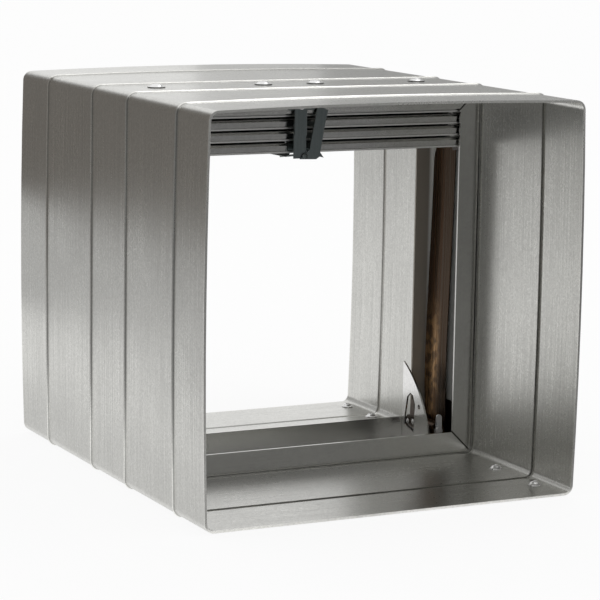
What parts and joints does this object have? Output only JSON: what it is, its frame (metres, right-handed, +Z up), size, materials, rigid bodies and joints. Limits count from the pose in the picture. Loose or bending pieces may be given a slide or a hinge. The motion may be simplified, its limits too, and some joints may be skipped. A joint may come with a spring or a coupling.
{
  "type": "fire damper",
  "caption": "Square duct fire damper: a folding curtain of interlocked steel blades held up by a fusible link, closed by two strip springs in a folded frame inside a beaded sheet casing.",
  "frame": {"origin": "centre of the bounding box's base, on the crests of the bottom beads", "axes": "+X across the duct to the side with the seam rivets, +Y along the airflow away from the fusible link, +Z up towards the folded curtain"},
  "size_m": [0.2076, 0.246, 0.2028],
  "materials": {
    "galvanised_casing": "galvanised sheet with a fine spangle",
    "galvanised_frame": "galvanised sheet, folded",
    "rivet_steel": "bright domed steel",
    "blade_steel": "galvanised sheet, slightly dulled",
    "strap_steel": "dark blue-grey steel",
    "spring_steel": "heat-tinted brown spring steel",
    "cleat_steel": "dark steel",
    "fitting_steel": "bright zinc-plated steel"
  },
  "bodies": {
    "housing": {"casing": "galvanised_casing", "casing_seam_rivets": "rivet_steel", "frame_bottom": "galvanised_frame", "frame_left": "galvanised_frame", "frame_top": "galvanised_frame", "frame_right": "galvanised_frame", "frame_top_rivets": "rivet_steel", "curtain_hanger": "galvanised_frame", "link_upper": "strap_steel", "link_stud": "rivet_steel", "link_bracket": "strap_steel", "link_bracket_rivets": "rivet_steel", "guide_plate_right": "fitting_steel", "reel_bracket_right": "fitting_steel", "reel_pin_right": "rivet_steel", "spring_strip_right": "spring_steel", "corner_cleat_right": "cleat_steel", "guide_plate_left": "fitting_steel", "reel_bracket_left": "fitting_steel", "reel_pin_left": "rivet_steel", "spring_strip_left": "spring_steel", "corner_cleat_left": "cleat_steel"},
    "blade_1": {"blade_1": "blade_steel"},
    "blade_2": {"blade_2": "blade_steel"},
    "blade_3": {"blade_3": "blade_steel"},
    "blade_4": {"blade_4": "blade_steel"},
    "blade_5": {"blade_5": "blade_steel"},
    "blade_6": {"blade_6": "blade_steel"},
    "blade_7": {"blade_7": "blade_steel"},
    "blade_8": {"blade_8": "blade_steel"},
    "bottom_blade": {"bottom_blade": "blade_steel", "strap_foot": "strap_steel", "strip_clip_right": "fitting_steel", "strip_clip_left": "fitting_steel"},
    "strap": {"strap": "strap_steel", "strap_rivet": "rivet_steel", "link_lower": "strap_steel"},
    "spring_reel_right": {"spring_hub_right": "fitting_steel", "spring_coil_right": "spring_steel"},
    "lock_leaf_right": {"lock_leaf_right": "fitting_steel", "leaf_rivets_right": "rivet_steel"},
    "spring_reel_left": {"spring_hub_left": "fitting_steel", "spring_coil_left": "spring_steel"},
    "lock_leaf_left": {"lock_leaf_left": "fitting_steel", "leaf_rivets_left": "rivet_steel"}
  },
  "joints": [
    {"name": "blade_1_fold", "type": "hinge", "parent": "housing", "child": "blade_1", "pos_m": [0, -0.0163, 0.195], "axis": [-1, 0, 0], "range_deg": [0, 69.73], "deforming": ["spring_strip_right", "spring_strip_left"]},
    {"name": "blade_2_fold", "type": "hinge", "parent": "blade_1", "child": "blade_2", "pos_m": [0, 0.00504, 0.1919], "axis": [-1, 0, 0], "range_deg": [-140, 0]},
    {"name": "blade_3_fold", "type": "hinge", "parent": "blade_2", "child": "blade_3", "pos_m": [0, -0.0163, 0.1888], "axis": [-1, 0, 0], "range_deg": [0, 140]},
    {"name": "blade_4_fold", "type": "hinge", "parent": "blade_3", "child": "blade_4", "pos_m": [0, 0.00504, 0.1857], "axis": [-1, 0, 0], "range_deg": [-140, 0]},
    {"name": "blade_5_fold", "type": "hinge", "parent": "blade_4", "child": "blade_5", "pos_m": [0, -0.0163, 0.1826], "axis": [-1, 0, 0], "range_deg": [0, 140]},
    {"name": "blade_6_fold", "type": "hinge", "parent": "blade_5", "child": "blade_6", "pos_m": [0, 0.00504, 0.1795], "axis": [-1, 0, 0], "range_deg": [-140, 0]},
    {"name": "blade_7_fold", "type": "hinge", "parent": "blade_6", "child": "blade_7", "pos_m": [0, -0.0163, 0.1764], "axis": [-1, 0, 0], "range_deg": [0, 140]},
    {"name": "blade_8_fold", "type": "hinge", "parent": "blade_7", "child": "blade_8", "pos_m": [0, 0.00504, 0.1733], "axis": [-1, 0, 0], "range_deg": [-140, 0]},
    {"name": "bottom_blade_fold", "type": "hinge", "parent": "blade_8", "child": "bottom_blade", "pos_m": [0, -0.0163, 0.1702], "axis": [-1, 0, 0], "range_deg": [0, 140]},
    {"name": "strap_hang", "type": "hinge", "parent": "bottom_blade", "child": "strap", "pos_m": [0, -0.0163, 0.1702], "axis": [-1, 0, 0], "range_deg": [-70.5, 0]},
    {"name": "spring_reel_right_turn", "type": "hinge", "parent": "housing", "child": "spring_reel_right", "pos_m": [0.0911, 0.009, 0.0105], "axis": [0, 1, 0], "range_deg": [0, 2250]},
    {"name": "spring_reel_left_turn", "type": "hinge", "parent": "housing", "child": "spring_reel_left", "pos_m": [-0.0911, 0.009, 0.0105], "axis": [0, -1, 0], "range_deg": [0, 2250]},
    {"name": "lock_leaf_right_flex", "type": "hinge", "parent": "housing", "child": "lock_leaf_right", "pos_m": [0.0851, 0.0169, 0.0084], "axis": [0, -1, 0], "range_deg": [0, 5], "stiffness_Nm_per_rad": 0.02},
    {"name": "lock_leaf_left_flex", "type": "hinge", "parent": "housing", "child": "lock_leaf_left", "pos_m": [-0.0851, 0.0169, 0.0084], "axis": [0, 1, 0], "range_deg": [0, 5], "stiffness_Nm_per_rad": 0.02}
  ],
  "couplings": [
    {"joint": "blade_2_fold", "follows": "blade_1_fold", "ratio": -2},
    {"joint": "blade_3_fold", "follows": "blade_1_fold", "ratio": 2},
    {"joint": "blade_4_fold", "follows": "blade_1_fold", "ratio": -2},
    {"joint": "blade_5_fold", "follows": "blade_1_fold", "ratio": 2},
    {"joint": "blade_6_fold", "follows": "blade_1_fold", "ratio": -2},
    {"joint": "blade_7_fold", "follows": "blade_1_fold", "ratio": 2},
    {"joint": "blade_8_fold", "follows": "blade_1_fold", "ratio": -2},
    {"joint": "bottom_blade_fold", "follows": "blade_1_fold", "ratio": 2},
    {"joint": "strap_hang", "follows": "blade_1_fold", "ratio": -1},
    {"joint": "spring_reel_right_turn", "follows": "blade_1_fold", "ratio": 32},
    {"joint": "spring_reel_left_turn", "follows": "blade_1_fold", "ratio": 32}
  ]
}
